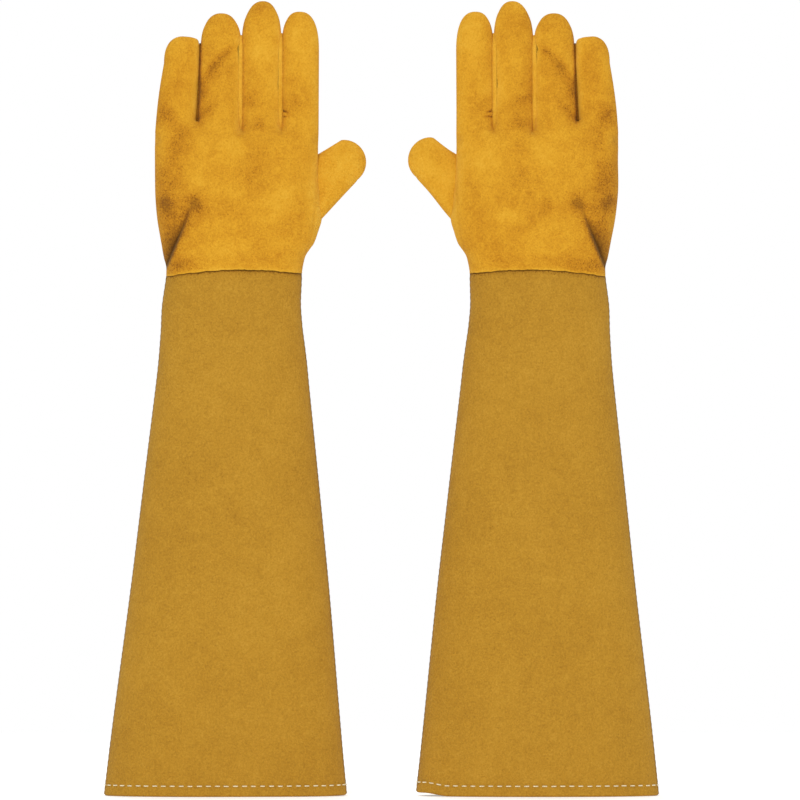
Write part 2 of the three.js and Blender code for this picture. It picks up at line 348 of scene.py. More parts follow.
def inflated(points, tris, fixed):
    """The height, before scaling, of a skin blown up over a flat area. It is nothing on the fixed
    points, and levels out beyond FULL_REACH from them. This is the screened Poisson equation, on
    linear triangles, by conjugate gradients."""
    p = points[tris]
    sides = [p[:, 2] - p[:, 1], p[:, 0] - p[:, 2], p[:, 1] - p[:, 0]]
    area = 0.5 * np.abs(sides[2][:, 0] * sides[1][:, 1] - sides[2][:, 1] * sides[1][:, 0])
    area = np.maximum(area, 1e-6)
    count = len(points)
    mass = np.bincount(tris.ravel(), np.repeat(area / 3, 3), count)
    diagonal = mass / FULL_REACH**2
    pairs = []
    for j, k in ((1, 2), (2, 0), (0, 1)):
        weight = -(sides[j] * sides[k]).sum(1) / (4 * area)
        pairs.append((tris[:, j], tris[:, k], weight))
        diagonal += np.bincount(tris[:, j], weight, count) + np.bincount(tris[:, k], weight, count)
    a = np.concatenate([x[0] for x in pairs])
    b = np.concatenate([x[1] for x in pairs])
    w = np.concatenate([x[2] for x in pairs])
    free = np.ones(count)
    free[fixed] = 0

    def product(u):
        return free * (diagonal * u - np.bincount(a, w * u[b], count) - np.bincount(b, w * u[a], count))

    u = np.zeros(count)
    r = free * mass
    z = r / diagonal
    d = z.copy()
    rz = r @ z
    for _ in range(MOST_ROUNDS):
        q = product(d)
        step = rz / (d @ q)
        u += step * d
        r -= step * q
        if np.abs(r).max() < SETTLED * mass.max():
            break
        z = r / diagonal
        rz, old = r @ z, rz
        d = z + (rz / old) * d
    return np.sqrt(2 * np.maximum(u, 0))


def across_and_along(x, z, line):
    """How far points are to the left of a polyline, and the share of its length where they are."""
    a, d = line[:-1], np.diff(line, axis=0)
    lengths = np.linalg.norm(d, axis=1)
    p = np.column_stack([x, z])[:, None]
    share = ((p - a) * d).sum(2) / lengths**2
    share[:, 1:] = np.maximum(share[:, 1:], 0)
    share[:, :-1] = np.minimum(share[:, :-1], 1)
    off = p - (a + share[..., None] * d)
    near = np.linalg.norm(off, axis=2).argmin(1)
    each = np.arange(len(near))
    off, d = off[each, near], d[near]
    across = (d[:, 0] * off[:, 1] - d[:, 1] * off[:, 0]) / lengths[near]
    before = np.concatenate([[0], np.cumsum(lengths)])[near]
    return across, (before + share[each, near] * lengths[near]) / lengths.sum()


# The two sharp creases at the root of the index finger.
INDEX_CREASES = [[(33.9, 516.9), (37, 516.4), (39.5, 514.6)], [(33.9, 512.2), (41.5, 512.4)]]
# Folds of the back of the hand, each from its deep end: the line, the depth, its widths to the left
# and right of the line, how dark the painted shade in it is, and the share of its length where it
# starts to fade.
FOLDS = [
    ([(-57, 513), (-40, 500)], 0.8, (4.5, 4.5), 0.1, 0.4),
    ([(-4, 563), (-10, 557.5), (-18, 549), (-28, 537)], 1.5, (4.0, 3.2), 0.85, 0.45),
    ([(-28.5, 509), (-20, 518), (-9, 530)], 1.1, (3.2, 4.5), 0.7, 0.3),
    ([(3.5, 526.2), (-8.5, 525.2)], 0.5, (0.9, 0.9), 0.5, 0.3),
    (INDEX_CREASES[0], 1.2, (0.8, 0.8), 1.5, 0.5),
    (INDEX_CREASES[1], 1.0, (0.8, 0.8), 1.2, 0.4),
    ([(-58, 449), (-45, 441)], 0.8, (5.0, 5.0), 0.2, 0.4),
    ([(20, 514), (8, 505)], 0.6, (3.5, 3.5), 0.15, 0.4),
]
# The tuck in the heel of the hand, and the seam that the side of the thumb's root comes out from.
TUCK = [(-52.9, 397.0), (-49.2, 406.5), (-44.6, 417.5), (-39.6, 429), (-31.5, 449.5)]
TUCK_DEPTH = 4.6
TUCK_RISE = 2.0  # how far the leather to its right stands up
SIDE_SEAM = [(49.4, 396), (52.6, 408), (56.8, 422), (59.4, 438), (60.6, 455), (61.2, 472)]


def hand_folds(x, z):
    """How far the back of the hand is drawn in by its folds, in millimetres, and the painted shade in
    them.
    """
    depth, shade = np.zeros(len(x)), np.zeros(len(x))
    for points, deep, widths, dark, fade in FOLDS:
        across, along = across_and_along(x, z, smooth_line(points))
        profile = np.exp(-((across / np.where(across > 0, *widths)) ** 2))
        profile *= ramp(along, -0.25, 0.08) * (1 - ramp(along, fade, 1.15))
        depth += deep * profile
        shade += dark * profile
    # the tuck's right side lies over its left, and its edge is sharp at the hem and soft higher up.
    # The leather under it has a painted shadow, and its lip has painted shade.
    across, along = across_and_along(x, z, smooth_line(TUCK))
    fade = ramp(along, -0.1, 0.0) * (1 - ramp(along, 0.25, 1.1)) ** 0.8
    left = across > 0
    higher = np.clip(along, 0, 1)
    lip = 0.5 + 2.6 * higher**2
    depth += fade * TUCK_DEPTH * np.exp(np.where(left, -across / 5.5, across / lip))
    depth -= fade * np.where(left, 0, TUCK_RISE * np.exp(across / 9)) * (1 - np.exp(across / lip))
    under = 1.25 * np.exp(-across / 7.5) + 1.2 * np.exp(-across / 1.8)
    over = 2.2 * np.exp(across / (0.4 + 3.6 * higher))
    shade += fade * np.where(left, under, over)
    # the leather to the right of the side seam lies lower and is paler, with painted shade in the
    # groove
    across, along = across_and_along(x, z, smooth_line(SIDE_SEAM))
    groove = ramp(along, 0.0, 0.15) * (1 - ramp(along, 0.8, 1.0))
    depth += groove * (0.5 * np.exp(-((across / 0.7) ** 2)) + 0.5 * ramp(-across, 0, 1.5))
    shade += groove * (0.25 * np.exp(-((across / 0.6) ** 2)) - 0.3 * ramp(-across, 0.5, 1.5))
    return depth, shade


def unevenness(x, z, seed, size):
    """Soft hills and hollows of worn leather, from -1 to 1."""
    return np.array([noise.noise((a / size, b / size, seed)) for a, b in zip(x, z)])


# ---- meshes ----


def normals_of(points, faces):
    """The smooth normal of each point of a mesh of triangles or of quads."""
    n = np.zeros_like(points)
    for face in (faces[:, :3], faces[:, [0, 2, 3]]) if faces.shape[1] == 4 else (faces,):
        p = points[face]
        cross = np.cross(p[:, 1] - p[:, 0], p[:, 2] - p[:, 0])
        for k in range(3):
            np.add.at(n, face[:, k], cross)
    return unit(n)


def make_piece(side, name, points, faces, normals, look, tone=None):
    """A named mesh from flat-frame points. Only the points that its faces use are kept."""
    used = np.unique(np.concatenate([part.ravel() for part in faces]))
    renumbered = np.zeros(len(points), int)
    renumbered[used] = np.arange(len(used))
    corners = [row for part in faces for row in renumbered[part][:, :: side.sign].tolist()]
    placed = side.place(points[used])
    turned = normals[used] * (side.sign, 1, 1)
    mesh = bpy.data.meshes.new(f"{side.name}_{name}")
    mesh.from_pydata(placed.tolist(), [], corners)
    mesh.shade_smooth()
    mesh.normals_split_custom_set_from_vertices(turned.tolist())
    rest = mesh.attributes.new("rest_place", "FLOAT_VECTOR", "POINT")
    rest.data.foreach_set("vector", placed.astype(np.float32).ravel())
    shade = mesh.attributes.new("tone", "FLOAT", "POINT")
    tones = np.zeros(len(used)) if tone is None else tone[used]
    shade.data.foreach_set("value", tones.astype(np.float32))
    mesh.materials.append(look)
    piece = bpy.data.objects.new(f"{side.name}_{name}", mesh)
    bpy.context.scene.collection.objects.link(piece)
    return piece


def smooth_piece(side, name, points, faces, look, tone=None):
    """A piece of one kind of face, with smooth normals."""
    return make_piece(side, name, points, [faces], normals_of(points, faces), look, tone)


# ---- the hand ----


def slit_x(pair, z):
    """The middle of the slit between two fingers, at a height."""
    one, two = (FINGERS[name] for name in pair)
    root = (one["root"][1] + two["root"][0]) / 2
    shoulder = (one["shoulder"][1] + two["shoulder"][0]) / 2
    return np.interp(z, (CROTCHES[pair], one["z"]), (root, shoulder))


def finger_of(x, z):
    """Which finger each point belongs to, above the root line."""
    return np.array(list(FINGERS))[sum((x > slit_x(pair, z)).astype(int) for pair in CROTCHES)]


# The strips of leather between the fingers: the corners of their section, across the slit and deep,
# how dark they are, how high they go, and how dark the leather to the left and right of them is.
# The strip between the little and ring fingers is darkened as a painted shadow in its gap, and the
# other two are made paler as a painted highlight. Beside each slit the leather has a painted
# highlight on its left and a painted shadow on its right. Two of the strips lap over the finger to
# the right. Each has corners in the middle of the slit, where it is cut in two.
NARROW = ((-1.6, -0.9), (0, -0.9), (1.6, -0.9), (0, 0.6))
LAPPED = ((-3.4, -5.4), (-0.9, -4.3), (0, -3.97), (1.8, -3.3), (0, 0.6))
WEBS = {
    ("little", "ring"): dict(section=NARROW, tone=1.7, top=569.5, beside=(-1.3, 1.3)),
    ("ring", "middle"): dict(section=LAPPED, tone=-0.8, top=575.5, beside=(-1.2, 0.15)),
    ("middle", "index"): dict(section=LAPPED, tone=-0.7, top=577.5, beside=(-1.0, 0.15)),
}
WEB_FOOT = 3  # how far below the end of its slit a strip starts


def finger_web(pair):
    """A narrow strip of leather that shuts the slit between two fingers, up to where they part."""
    web = WEBS[pair]
    z = np.arange(CROTCHES[pair] - WEB_FOOT, web["top"], STEP)
    x = slit_x(pair, z)
    taper = np.minimum(1, 0.2 + (web["top"] - z) / 14)
    rings = [np.column_stack([x + across * taper, deep * taper, z]) for across, deep in web["section"]]
    corners = len(rings)
    faces = []
    for row in range(0, corners * (len(z) - 1), corners):
        for k in range(corners):
            a, b = row + k, row + (k + 1) % corners
            faces += [(a, b, a + corners), (b, b + corners, a + corners)]
    return np.stack(rings, axis=1).reshape(-1, 3), np.array(faces)


# Darker and paler patches of the back of the hand, partly the leather's own mottling and partly
# painted shade on its outer side and painted light along its inner edge: the middle, the two radii
# and the strength.
PATCHES = [
    (-51.5, 514, 8, 8, 0.5), (-45.8, 502, 9, 6, 0.25), (-54, 446, 6, 9, 0.4), (-49, 434, 9, 20, 0.35),
    (-13, 545, 9, 8, 0.3), (-24, 534, 5, 9, 0.25), (-29, 447, 8, 8, 0.8), (11.5, 525, 8, 5, 0.45),
    (17, 506.5, 10, 5, 0.45), (42, 522, 8, 6, 0.35), (14, 487, 8, 13, 0.3), (11.5, 466, 9, 9, 0.3),
    (-5.5, 442, 8, 7, 0.3), (-42, 491, 9, 9, 0.35), (-25, 529, 4, 12, 0.5), (-52, 466, 12, 15, 0.55),
    (-40, 399, 14, 8, 0.6), (-51, 415, 6, 10, 0.4), (-2.5, 487, 9, 7, -0.45), (-51, 545, 5, 10, -0.3),
    (18.5, 560, 8, 14, -0.3), (-7, 412, 14, 7, -0.3), (35, 455, 9, 10, -0.3), (48, 575, 8, 8, -0.2),
    (28, 532, 5, 14, -0.35), (63, 475, 8, 70, -0.8), (62, 572, 5, 10, -0.6), (40, 479, 9, 8, -0.4),
    (46, 402, 10, 10, -0.4), (19, 437, 12, 6, -0.35), (-25, 548, 4, 9, -0.6), (37, 530, 5, 8, -0.4),
]


def patches(x, z):
    """How much darker each point is for the patches: the mottling and the painted light and shade."""
    tone = np.zeros(len(x))
    for px, pz, rx, rz, strength in PATCHES:
        tone += strength * np.exp(-(((x - px) / rx) ** 2) - ((z - pz) / rz) ** 2)
    return tone


class Skin:
    """Both panels of a hand or thumb, sewn together round their outline: the flat mesh, the raised
    points of each panel and their normals and tones."""

    def __init__(self, outline, raise_back, raise_palm, creases=()):
        self.outline, sewn = outline
        self.flat, tris, ring = triangulated(self.outline, creases)
        p = self.flat[tris]
        turned = np.cross(p[:, 1] - p[:, 0], p[:, 2] - p[:, 0]) < 0
        tris[turned] = tris[turned][:, ::-1]
        seam = ring[:sewn]
        self.open = np.append(ring[sewn - 1 :], ring[0])
        height = inflated(self.flat, tris, seam)
        drawn = self.flat.copy()
        drawn[seam] += self.drawn_in(self.outline[:sewn])[:, None] * inward(self.outline)[:sewn]
        x, z = self.flat.T
        self.faces = {"back": tris, "palm": tris[:, ::-1].copy()}
        self.points, self.normals, self.tones = {}, {}, {}
        for panel, rise in (("back", raise_back), ("palm", raise_palm)):
            y, self.tones[panel] = rise(x, z, height)
            self.points[panel] = np.column_stack([drawn[:, 0], y, drawn[:, 1]])
            self.normals[panel] = normals_of(self.points[panel], self.faces[panel])

    def drawn_in(self, seam):
        """How far the seam is drawn in, and nothing where two fingers touch."""
        x, z = seam.T
        apart = np.min([np.abs(x - slit_x(pair, z)) for pair in CROTCHES], axis=0)
        depth = SEAM_DEPTH * np.where(z > ROOT_LINE - 10, ramp(apart, 1.2, 5), 1)
        return winding(self.outline) * depth

    def add(self, panel, points, faces, tone):
        """Joins a loose strip to a panel."""
        self.faces[panel] = np.concatenate([self.faces[panel], faces + len(self.points[panel])])
        self.points[panel] = np.concatenate([self.points[panel], points])
        self.normals[panel] = np.concatenate([self.normals[panel], normals_of(points, faces)])
        self.tones[panel] = np.concatenate([self.tones[panel], np.full(len(points), tone)])


def slit_shade(x, z):
    """A painted highlight on the finger to the left of each slit and a painted shadow on the finger to
    its right.
    """
    shade = np.zeros(len(x))
    for pair, web in WEBS.items():
        left, right = web["beside"]
        off = x - slit_x(pair, z)
        pale = left * np.exp(-((off / 4.0) ** 2))
        shadow = right * np.exp(-(((off - 0.4) / 1.1) ** 2))
        shade += np.where(off < 0, pale, shadow) * ramp(z, CROTCHES[pair] - 5, CROTCHES[pair] + 2)
    return shade


def above_hem(x, z):
    """How far points are above the hand's lower edge."""
    return z - np.interp(x, *hem_line(INNER_EDGE[0], OUTER_EDGE[-1])[::-1].T)


def back_of_hand(x, z, height):
    """The depth of the back panel, and its tone: the patches, and the painted shade and light of the
    folds, the slits and the hem.
    """
    y = height * (0.66 + 0.1 * (1 - ramp(z, 425, 505)))
    folds, shade = hand_folds(x, z)
    y += 0.8 * unevenness(x, z, 2.0, 22) * ramp(height, 2, 12)
    y += 0.3 * unevenness(x, z, 5.0, 7) * ramp(height, 2, 9)
    y = np.maximum(y - folds, 0.2 * y)
    above = above_hem(x, z)
    # a painted highlight on the hand's cut lower edge, and a faint darker band 9 mm above it
    painted_hem_highlight_and_band = 0.15 * np.exp(-(((above - 9) / 2.5) ** 2)) - 0.7 * np.exp(-((above / 1.6) ** 2))
    return -y, 1.35 * patches(x, z) + 0.16 + shade + slit_shade(x, z) + painted_hem_highlight_and_band


# Creases of the palm: from, to, depth and width.
PALM_CREASES = [
    ((-52, 482), (40, 490), 1.3, 2.6),
    ((-40, 462), (52, 478), 1.1, 2.8),
    ((20, 402), (-4, 470), 1.0, 3.0),
    ((-50, 420), (-20, 436), 0.9, 3.0),
]


def palm_of_hand(x, z, height):
    """The depth of the palm panel, and its tone."""
    y = height * (0.66 + 0.16 * (1 - ramp(z, 425, 505)))
    y += 0.9 * unevenness(x, z, 12.0, 24) * ramp(height, 2, 12)
    y += 0.3 * unevenness(x, z, 15.0, 8) * ramp(height, 2, 9)
    creases = np.zeros(len(x))
    for start, end, deep, wide in PALM_CREASES:
        across, along = across_and_along(x, z, np.array([start, end], float))
        bowed = across - 5 * np.sin(np.clip(along, 0, 1) * math.pi)
        faded = deep * ramp(along, -0.1, 0.2) * (1 - ramp(along, 0.8, 1.1))
        creases += faded * np.exp(-((bowed / wide) ** 2))
    # the tone holds the mirrored patches, painted shade in the creases and the slits' painted light and
    # shade
    return y - creases, 0.5 * patches(-x, z + 6) + 0.12 * creases + slit_shade(x, z)


def thumb_rise(sign):
    """What gives the depth and tone of one of the thumb's panels. The thumb leans towards the palm at
    its root, so that it starts behind the back panel's edge. The low side of its root turns in again,
    into the hand."""

    def rise(x, z, height):
        right, up = x - THUMB_TIP[0], z - THUMB_TIP[1]
        along = right * math.cos(THUMB_SLOPE) + up * math.sin(THUMB_SLOPE)
        across = up * math.cos(THUMB_SLOPE) - right * math.sin(THUMB_SLOPE)
        root = 1 - ramp(along, -30, 6)
        middle = THUMB_Y + root * (2.4 - 5.5 * ramp(-across, 6, 21))
        full = 0.62 - 0.04 * root
        bumps = 0.4 * unevenness(x, z, 21.0 + sign, 12) * ramp(height, 2, 9)
        tone = 0.4 * unevenness(x, z, 31.0 + sign, 16) - 0.35
        return middle + sign * (height * full + bumps), tone

    return rise


THUMB_ROOT = (THUMB_TIP[0] - 12, THUMB_TIP[1] - 18)  # the seam is drawn in order round this point
SEAM_WINDOW = 9  # how many points of the seam are averaged, to smooth it
SEAM_GAP = 0.25  # the least distance between the points of the smoothed seam
SEAM_RADIUS = 0.75


def thumb_seam(hand, thumb):
    """The rolled seam where the thumb's palm side comes out of the hand's, as points and triangles."""
    points, flat = thumb.points["palm"], thumb.flat
    within = inside(flat, hand.outline)
    apart = np.full(len(flat), np.inf)
    for i in np.flatnonzero(within):
        distance = np.linalg.norm(hand.flat - flat[i], axis=1)
        nearest = np.argsort(distance)[:4]
        weights = 1 / (distance[nearest] ** 2 + 0.01)
        apart[i] = points[i, 1] - weights @ hand.points["palm"][nearest, 1] / weights.sum()
    tris = thumb.faces["palm"]
    a, b = np.concatenate([tris[:, [0, 1]], tris[:, [1, 2]], tris[:, [2, 0]]]).T
    cut = (apart[a] > 0) & (apart[b] <= 0) & within[a]
    a, b = a[cut], b[cut]
    share = apart[a] / (apart[a] - apart[b])
    found = points[a] + share[:, None] * (points[b] - points[a])
    angle = np.arctan2(found[:, 2] - THUMB_ROOT[1], THUMB_ROOT[0] - found[:, 0])
    found = found[np.argsort(angle)]
    window = np.ones(SEAM_WINDOW) / SEAM_WINDOW
    line = np.column_stack([np.convolve(column, window, "valid") for column in found.T])
    line = line[np.append(True, np.diff(lengths_along(line)) > SEAM_GAP)]
    beads = SEAM_RADIUS + 0.15 * np.sin(np.arange(len(line)) * 1.7)
    tube, quads = rod(line, beads)
    return tube, np.concatenate([quads[:, :3], quads[:, [0, 2, 3]]])


# The cut edge is darker partly for its raw leather and partly as painted shade, and the strip of the
# inside behind it is painted shade.
EDGE_TONES = (0.9, 1.3, 1.0, 1.0)  # of the rows of points of a cut edge and of the strip behind it


def edge_band(points, normals, row):
    """The cut edge of a panel and a strip of its inside, along a row of its points: the points, and
    the faces of each."""
    top = points[row]
    under = top - unit(normals[row] * (1, 1, 0)) * LEATHER
    rough = np.array([0.18 * noise.noise((a * 0.9, b * 0.9, 4)) for a, b in top[:, :2]])
    under[:, 2] += 0.15 + rough
    band = np.concatenate([top, under, under, under + (0, 0, CUT_INSIDE)])
    cut = grid_faces(len(row), 2)
    return band, cut, cut + 2 * len(row)


def add_hand_panel(side, skin, panel, below, look):
    """The part of a panel below the fingers, with the cut edge and inside of its open lower edge."""
    points, normals = skin.points[panel], skin.normals[panel]
    band, *faces = edge_band(points, normals, skin.open)
    cut, inner = (part[:, :: 1 if panel == "back" else -1] for part in faces)
    band_normals = normals_of(band, np.concatenate([cut, inner]))
    tones = np.concatenate([skin.tones[panel], np.repeat(EDGE_TONES, len(skin.open))])
    return make_piece(
        side, f"hand_{panel}_leather", np.concatenate([points, band]),
        [below, cut + len(points), inner + len(points)],
        np.concatenate([normals, band_normals]), look, tones,
    )


def add_hand(side, skin, look):
    """The hand's panels, cut into a stretch for each finger's base and tip, and the rest of each panel.
    """
    made = {}
    for panel, word in PANELS.items():
        faces, points = skin.faces[panel], skin.points[panel]
        middle = points[faces].mean(1)
        above = middle[:, 2] > ROOT_LINE
        owner = finger_of(middle[:, 0], middle[:, 2])
        for name in FINGERS:
            mine = above & (owner == name)
            tip = middle[:, 2] > FINGER_SPLIT[name]
            for part, chosen in (("base", mine & ~tip), ("tip", mine & tip)):
                key = f"{name}_{part}_{word}"
                made[key] = add_stretch(side, skin, panel, f"{key}_leather", faces[chosen], look)
        made[f"hand_{panel}"] = add_hand_panel(side, skin, panel, faces[~above], look)
    return made


def add_stretch(side, skin, panel, name, faces, look):
    """Some of a panel's faces as a piece, with the whole panel's normals and tones."""
    return make_piece(
        side, name, skin.points[panel], [faces], skin.normals[panel], look, skin.tones[panel]
    )


def add_thumb(side, skin, look):
    """The thumb's two panels."""
    made = {}
    for panel, word in PANELS.items():
        name = f"thumb_{word}_leather"
        made[f"thumb_{word}"] = add_stretch(side, skin, panel, name, skin.faces[panel], look)
    return made


# ---- the cuff ----

# At heights: half the cuff's width, half its depth, and how far from its side seams it goes on rising.
CUFF_HALF = [
    (0, 91.6), (80, 83.0), (160, 74.3), (240, 65.5), (310, 57.6), (352, 53.3), (375, 51.9), (392, 51.0),
    (406, 49.6),
]
CUFF_DEPTH = [(0, 34.2), (150, 31.2), (300, 26.8), (370, 23.6), (406, 21.6)]
CUFF_REACH = [(0, 75), (406, 27)]
CUFF_TOP = 405
HEM_Z = 8  # the height of the hem's stitches
HEM_FOLD = 14  # how high the folded hem goes
HEM_BEND = 1.5  # the radius of the folded edge
HEM_TURN = -0.35 * math.pi  # where the hem's cut edge is, as an angle before the start of its fold
LINING_GAP = 2.2  # from the leather's outside to the lining
STITCH = dict(length=3.6, pitch=6.7, radius=0.5)
# The heights of the rows of points of a panel: from, to and the distance between them.
CUFF_ROWS = ((HEM_BEND, 18, 1.2), (18, 386, 3.2), (386, CUFF_TOP, 0.8))
CUFF_COLUMNS = 97
LINING_COLUMNS = 41
LINING_STEP = 12
HEM_COLUMNS = 200  # on each side of the loop of hem stitches


def along_cuff(table, z):
    """A table's value at each height."""
    return np.interp(z, *zip(*table))


def shares_across(count):
    """Shares from -1 to 1 across the cuff, closest together at its side seams."""
    return np.sin(np.linspace(-math.pi / 2, math.pi / 2, count))


def cuff_middle(side, z):
    """How far the cuff's middle is off the glove's middle line."""
    low = -3.2 - side.lean * (1 - np.clip(z, 0, WRIST_Z) / WRIST_Z)
    return low + 1.6 * ramp(z, 20, 180) * (1 - ramp(z, 320, 375)) + 2.0 * ramp(z, 365, 398)


def cuff_sway(side, share, z, sign):
    """Soft waves across the cuff, which grow towards its mouth."""
    waves = np.sin(2.6 * share + 1.1 * sign + 0.9 * side.sign) + 0.5 * np.sin(5.2 * share - sign)
    return 1.4 * waves * (1 - share**2) * (1 - ramp(z, 30, 340))


def cuff_point(side, share, z, sign, inset=0.0):
    """A point of the cuff's outside: share runs from -1 to 1 across it, and sign is -1 on its back."""
    half, depth, reach = (along_cuff(t, z) for t in (CUFF_HALF, CUFF_DEPTH, CUFF_REACH))
    slack = np.cosh(half / reach)
    bulge = (1 - np.cosh(share * half / reach) / slack) / (1 - 1 / slack)
    x = cuff_middle(side, z) + share * (half - inset)
    y = sign * (depth - inset) * np.sqrt(np.maximum(bulge, 0)) + cuff_sway(side, share, z, sign)
    return x, y


def cuff_grid(side, sign, shares, heights, inset=0.0):
    """Rows of points of one of the cuff's panels, from the mouth up."""
    z = np.repeat(heights, len(shares))
    s = np.tile(shares, len(heights))
    x, y = cuff_point(side, s, z, sign, inset)
    return np.column_stack([x, y, z])


def grid_faces(columns, rows, first=0):
    """The quads of a grid of points that is written row by row."""
    i, j = np.meshgrid(np.arange(columns - 1), np.arange(rows - 1))
    a = (first + j * columns + i).ravel()
    return np.column_stack([a, a + 1, a + columns + 1, a + columns])


def add_cuff_panel(side, panel, look):
    """One panel of the cuff, from the cut edge of its folded hem, round the fold and up to the hand."""
    sign = -1 if panel == "back" else 1
    shares = shares_across(CUFF_COLUMNS)
    heights = np.concatenate([np.arange(*stretch) for stretch in CUFF_ROWS])
    outside = cuff_grid(side, sign, shares, heights)
    x, _, z = outside.T
    share = np.tile(shares, len(heights))
    edge = 1 - ramp(np.abs(share), 0.9, 1.0)
    seed = 40 + 10 * sign + 3 * side.sign
    swell = 0.9 * unevenness(x, z * 0.6, seed, 45) + 0.25 * unevenness(x, z, seed + 3, 12)
    doubled = 0.45 * (1 - ramp(z, HEM_FOLD - 1.5, HEM_FOLD + 1.5))
    fold = doubled - 0.4 * np.exp(-(((z - HEM_Z) / 1.3) ** 2))
    outside[:, 1] += sign * edge * (swell * ramp(z, 10, 60) + fold)
    seam = np.abs(share) == 1
    outside[seam, 0] -= share[seam] * SEAM_DEPTH
    rows = hem_rows(side, sign, shares, (edge * fold)[:CUFF_COLUMNS])
    points = np.concatenate([*rows, outside])
    faces = grid_faces(CUFF_COLUMNS, len(rows) + len(heights))
    if sign > 0:
        faces = faces[:, ::-1].copy()
    under = np.maximum(-above_hem(x, z), 0)
    stitched = 0.2 * np.exp(-np.abs(z - HEM_Z) / 2.5)
    shadow = 2.2 * np.exp(-under / 0.9) + 0.35 * np.exp(-under / 6)
    tone = np.concatenate([np.full(CUFF_COLUMNS * len(rows), 0.3), stitched + shadow])
    tone += np.tile(0.8 * ramp(np.abs(shares), 0.985, 1.0), len(rows) + len(heights))
    return smooth_piece(side, f"cuff_{panel}_leather", points, faces, look, tone)


def hem_rows(side, sign, shares, proud):
    """Rows of points from the hem's cut edge inside the cuff to the end of its fold."""
    rows = []
    for turn in np.linspace(HEM_TURN, math.pi, 9)[:-1]:
        if turn < 0:
            inset = 2 * HEM_BEND
            height = HEM_BEND + CUT_INSIDE * turn / HEM_TURN
        else:
            inset = HEM_BEND * (1 + math.cos(turn))
            height = HEM_BEND * (1 - math.sin(turn))
        x, y = cuff_point(side, shares, np.full(len(shares), HEM_BEND), sign, inset)
        rows.append(np.column_stack([x, y + sign * proud, np.full(len(shares), height)]))
    return rows


def add_cuff_lining(side, look):
    """The cotton inside the cuff, open at the mouth and at the hand."""
    shares = shares_across(LINING_COLUMNS)
    heights = np.concatenate([[HEM_FOLD - 4], np.arange(HEM_FOLD, CUFF_TOP - 4, LINING_STEP)])
    back, palm = (cuff_grid(side, sign, shares, heights, LINING_GAP) for sign in (-1, 1))
    inward_back = grid_faces(len(shares), len(heights))[:, ::-1]
    inward_palm = grid_faces(len(shares), len(heights), len(back))
    points, faces = np.concatenate([back, palm]), np.concatenate([inward_back, inward_palm])
    return smooth_piece(side, "cuff_lining_cloth", points, faces, look)


def rod(points, radii, sides=6):
    """A closed tube through points, with its own radius at each."""
    along = unit(np.gradient(points, axis=0))
    up = (0.0, 0.0, 1.0) if abs(along[0, 2]) < 0.9 else (0.0, 1.0, 0.0)
    one = unit(np.cross(along, up))
    two = np.cross(along, one)
    turns = np.linspace(0, 2 * math.pi, sides, endpoint=False)
    rings = points[:, None] + np.array(radii)[:, None, None] * (
        one[:, None] * np.cos(turns)[:, None] + two[:, None] * np.sin(turns)[:, None]
    )
    faces = []
    for j in range(len(points) - 1):
        for i in range(sides):
            a, b = j * sides + i, j * sides + (i + 1) % sides
            faces.append((a, a + sides, b + sides, b))
    return rings.reshape(-1, 3), np.array(faces)


def joined(parts):
    """Several meshes of the same kind of face as one."""
    points, faces, count = [], [], 0
    for p, f in parts:
        points.append(p)
        faces.append(f + count)
        count += len(p)
    return np.concatenate(points), np.concatenate(faces)


# Along a stitch: the shares of its length, how far it stands out and how thick it is, in radii.
STITCH_SHARES = np.array([0, 0.06, 0.2, 0.5, 0.8, 0.94, 1])
STITCH_RISES = np.array([-0.7, 0.0, 0.75, 1.0, 0.75, 0.0, -0.7])
STITCH_GIRTHS = np.array([0.5, 0.85, 1, 1, 1, 0.85, 0.5])
STITCH_LIFT = 0.12  # of the thread's middle off the leather


def add_stitches(side, name, line, look):
    """Dashes of thread along a closed level line, each a little out of place."""
    lengths, out = lengths_along(line), outward(line)
    count = int(lengths[-1] // STITCH["pitch"])
    pitch = lengths[-1] / count
    parts = []
    for i in range(count):
        wander = noise.noise((i * 1.7, side.sign, 9.1))
        start = (i + 0.22 + 0.05 * wander) * pitch
        at = start + STITCH_SHARES * STITCH["length"] * (1 + 0.08 * wander)
        rise = STITCH_LIFT + STITCH["radius"] * STITCH_RISES[:, None]
        dash = read_off(at, lengths, line) + read_off(at, lengths, out) * rise
        dash[:, 2] += 0.18 * wander + 0.12 * wander * np.linspace(-1, 1, len(at))
        parts.append(rod(dash, STITCH["radius"] * STITCH_GIRTHS))
    return smooth_piece(side, name, *joined(parts), look)


def cuff_loop(side, z):
    """The cuff's outside at a height, as a closed line."""
    shares = shares_across(HEM_COLUMNS)
    back = cuff_grid(side, -1, shares, [float(z)])
    palm = cuff_grid(side, 1, shares[::-1], [float(z)])
    return np.concatenate([back, palm[1:]])


EDGE_RADIUS = 0.62  # of the rolled edge, which swells and narrows at an even pitch
EDGE_PITCH = 4.8


def add_side_seam(side, name, edge, look):
    """The rolled edge where the cuff's two panels are sewn together."""
    heights = np.arange(1.2, CUFF_TOP - 10, 2.4)
    x, y = cuff_point(side, np.full(len(heights), float(edge)), heights, 1)
    beads = EDGE_RADIUS + 0.1 * np.sin(heights * 2 * math.pi / EDGE_PITCH)
    line = np.column_stack([x - edge * 0.35, y, heights])
    points, faces = rod(line, beads, 8)
    return smooth_piece(side, name, points, faces, look, np.full(len(points), 0.9))


# ---- materials ----


def set_inputs(node, values):
    """Sets constants on a node's own sockets."""
    for name, value in values.items():
        node.inputs[name].default_value = value


def linear(red, green, blue):
    """A display colour, from 0 to 255, as linear light with an alpha. None here is near black."""
    return (*(((v / 255 + 0.055) / 1.055) ** 2.4 for v in (red, green, blue)), 1)


